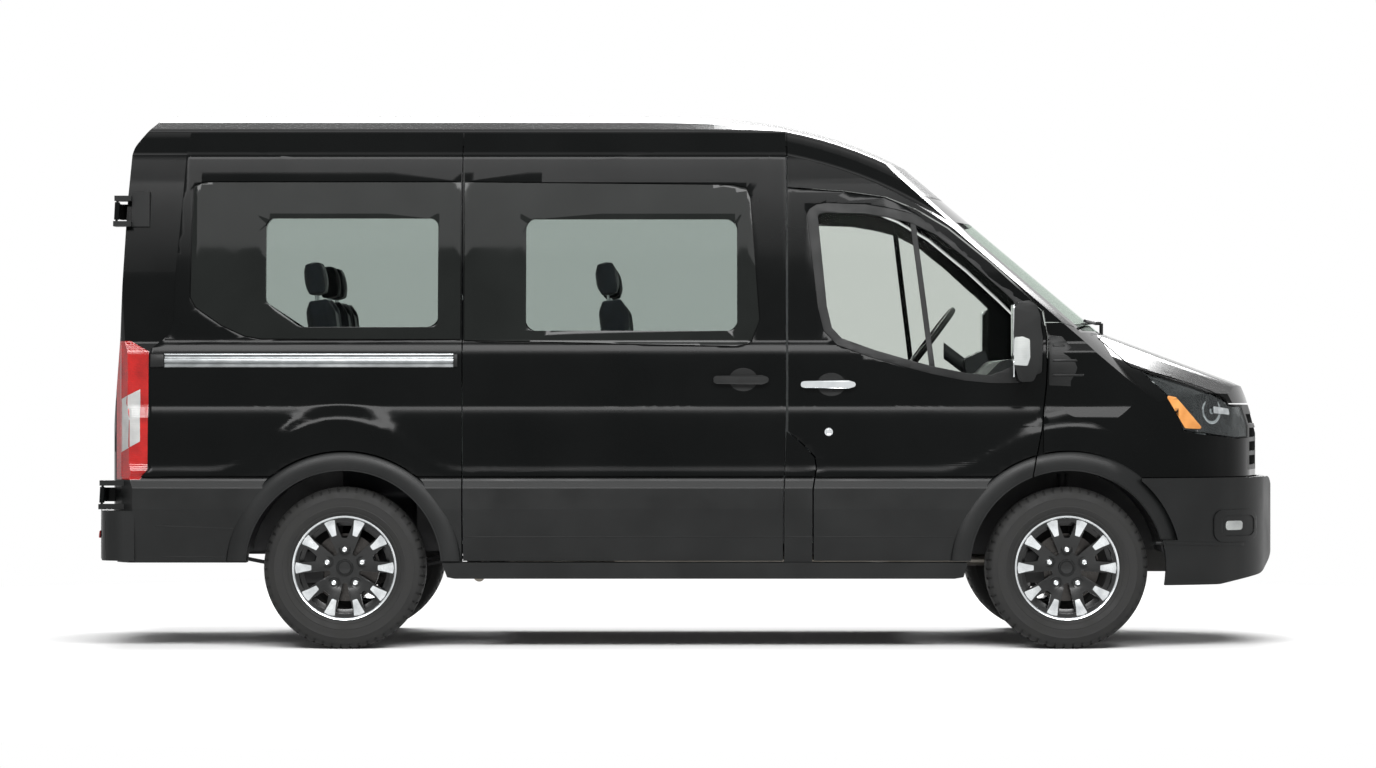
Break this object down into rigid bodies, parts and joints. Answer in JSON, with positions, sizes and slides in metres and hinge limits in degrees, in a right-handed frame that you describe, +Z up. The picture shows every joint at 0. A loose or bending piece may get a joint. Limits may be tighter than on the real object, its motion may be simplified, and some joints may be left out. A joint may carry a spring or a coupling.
{
  "type": "minibus",
  "caption": "Medium-roof passenger minibus with side sliding door, hinged cab and twin rear doors, opening bonnet, steered front wheels and rows of seats behind bonded side glass",
  "frame": {"origin": "centre of the bounding box in plan, on the ground the tyres stand on", "axes": "+X forward, +Y to the vehicle's left, +Z up"},
  "size_m": [5.531, 2.47, 2.4781],
  "materials": {
    "paint": "gloss black",
    "black_plastic": "matte",
    "window": "tinted",
    "lamp_clear": "clear",
    "lamp_red": "gloss",
    "tyre_rubber": "matte",
    "rim_alloy": "gloss black",
    "disc_iron": "machined",
    "chassis_steel": "satin black",
    "engine_iron": "rough",
    "exhaust_steel": "dull",
    "tank_plastic": "matte",
    "cabin_plastic": "matte",
    "seat_fabric": "woven",
    "rail_metal": "satin",
    "steering_rim": "satin"
  },
  "bodies": {
    "vehicle": {"arch_flares": "black_plastic", "cab_frame": "paint", "chassis_rails": "chassis_steel", "dashboard": "cabin_plastic", "engine": "engine_iron", "exhaust": "exhaust_steel", "floor_pan": "chassis_steel", "front_bumper": "black_plastic", "front_fascia": "paint", "front_seats": "seat_fabric", "front_subframe": "chassis_steel", "front_wings": "paint", "fuel_tank": "tank_plastic", "grille": "black_plastic", "headlights": "lamp_clear", "left_side_panel": "paint", "passenger_seats": "seat_fabric", "rear_axle": "chassis_steel", "rear_bumper": "black_plastic", "rear_door_hinges": "black_plastic", "right_side_panel": "paint", "roof_hoops": "cabin_plastic", "roof_panel": "paint", "side_steps": "black_plastic", "side_windows": "window", "sliding_door": "paint", "sliding_door_rail": "rail_metal", "taillights": "lamp_red", "windscreen": "window", "wipers": "black_plastic"},
    "right_front_door": {"front_door_right": "paint", "front_door_glass_right": "window", "mirror_right": "black_plastic"},
    "right_rear_door": {"rear_door_right": "paint", "rear_door_glass_right": "window"},
    "right_front_knuckle": {"front_knuckle_right": "chassis_steel"},
    "right_front_wheel": {"tyre_front_right": "tyre_rubber", "rim_front_right": "rim_alloy", "brake_disc_front_right": "disc_iron"},
    "right_rear_wheel": {"tyre_rear_right": "tyre_rubber", "rim_rear_right": "rim_alloy", "brake_disc_rear_right": "disc_iron"},
    "left_front_door": {"front_door_left": "paint", "front_door_glass_left": "window", "mirror_left": "black_plastic"},
    "left_rear_door": {"rear_door_left": "paint", "rear_door_glass_left": "window"},
    "left_front_knuckle": {"front_knuckle_left": "chassis_steel"},
    "left_front_wheel": {"tyre_front_left": "tyre_rubber", "rim_front_left": "rim_alloy", "brake_disc_front_left": "disc_iron"},
    "left_rear_wheel": {"tyre_rear_left": "tyre_rubber", "rim_rear_left": "rim_alloy", "brake_disc_rear_left": "disc_iron"},
    "bonnet_lid": {"bonnet": "paint"},
    "steering": {"steering_wheel": "steering_rim"}
  },
  "joints": [
    {"name": "right_front_door_hinge", "type": "hinge", "parent": "vehicle", "child": "right_front_door", "pos_m": [1.645, -1.036, 1.2], "axis": [0, 0, 1], "range_deg": [0, 70]},
    {"name": "right_rear_door_hinge", "type": "hinge", "parent": "vehicle", "child": "right_rear_door", "pos_m": [-2.668, -0.955, 0.9], "axis": [0.0521, 0, 0.9986], "range_deg": [0, 180]},
    {"name": "left_front_door_hinge", "type": "hinge", "parent": "vehicle", "child": "left_front_door", "pos_m": [1.645, 1.036, 1.2], "axis": [0, 0, -1], "range_deg": [0, 70]},
    {"name": "left_rear_door_hinge", "type": "hinge", "parent": "vehicle", "child": "left_rear_door", "pos_m": [-2.668, 0.955, 0.9], "axis": [-0.0521, 0, -0.9986], "range_deg": [0, 180]},
    {"name": "bonnet_hinge", "type": "hinge", "parent": "vehicle", "child": "bonnet_lid", "pos_m": [1.845, 0, 1.51], "axis": [0, -1, 0], "range_deg": [0, 60]},
    {"name": "right_steer", "type": "hinge", "parent": "vehicle", "child": "right_front_knuckle", "pos_m": [1.728, -0.77, 0.245], "axis": [0, 0.1961, 0.9806], "range_deg": [-33, 33]},
    {"name": "left_steer", "type": "hinge", "parent": "vehicle", "child": "left_front_knuckle", "pos_m": [1.728, 0.77, 0.245], "axis": [0, -0.1961, 0.9806], "range_deg": [-33, 33]},
    {"name": "right_front_wheel_spin", "type": "hinge", "parent": "right_front_knuckle", "child": "right_front_wheel", "pos_m": [1.728, -0.87, 0.37], "axis": [0, 1, 0], "continuous": true},
    {"name": "right_rear_wheel_spin", "type": "hinge", "parent": "vehicle", "child": "right_rear_wheel", "pos_m": [-1.572, -0.87, 0.37], "axis": [0, 1, 0], "continuous": true},
    {"name": "left_front_wheel_spin", "type": "hinge", "parent": "left_front_knuckle", "child": "left_front_wheel", "pos_m": [1.728, 0.87, 0.37], "axis": [0, 1, 0], "continuous": true},
    {"name": "left_rear_wheel_spin", "type": "hinge", "parent": "vehicle", "child": "left_rear_wheel", "pos_m": [-1.572, 0.87, 0.37], "axis": [0, 1, 0], "continuous": true},
    {"name": "steering_wheel_spin", "type": "hinge", "parent": "vehicle", "child": "steering", "pos_m": [1.172, 0.43, 1.424], "axis": [-0.7965, 0, 0.6046], "range_deg": [-500, 500]}
  ],
  "couplings": [
    {"joint": "left_steer", "follows": "right_steer", "ratio": 1},
    {"joint": "steering_wheel_spin", "follows": "right_steer", "ratio": 15}
  ]
}
